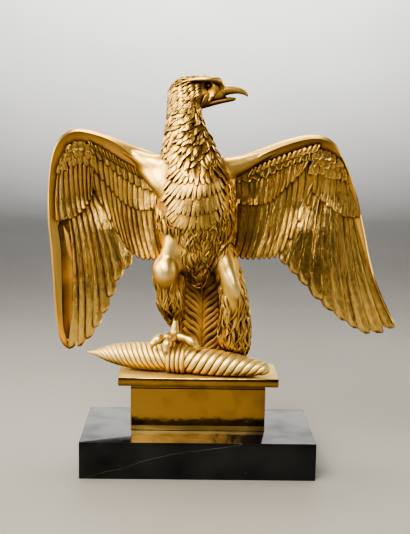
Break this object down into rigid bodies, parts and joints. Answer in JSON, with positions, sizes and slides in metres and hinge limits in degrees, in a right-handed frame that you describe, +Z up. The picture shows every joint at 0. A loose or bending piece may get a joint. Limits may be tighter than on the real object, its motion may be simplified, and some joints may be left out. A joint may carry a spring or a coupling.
{
  "type": "desk statuette of an eagle",
  "caption": "Gilt bronze eagle with spread wings and open hooked beak, one foot on a fluted thunderbolt, on a rectangular bronze plinth and a black marble base.",
  "frame": {"origin": "centre of the marble base's underside", "axes": "+Z up, the eagle's front towards -Y, its head turned towards +X"},
  "size_m": [0.2519, 0.084, 0.2757],
  "materials": {
    "gilt_bronze": "fire-gilt cast bronze, burnished on raised forms, darker and duller in the recesses",
    "black_marble": "polished black marble with fine white veins and flecks"
  },
  "bodies": {
    "root": {"marble_base": "black_marble", "plinth": "gilt_bronze", "thunderbolt": "gilt_bronze", "eagle": "gilt_bronze"}
  },
  "joints": []
}
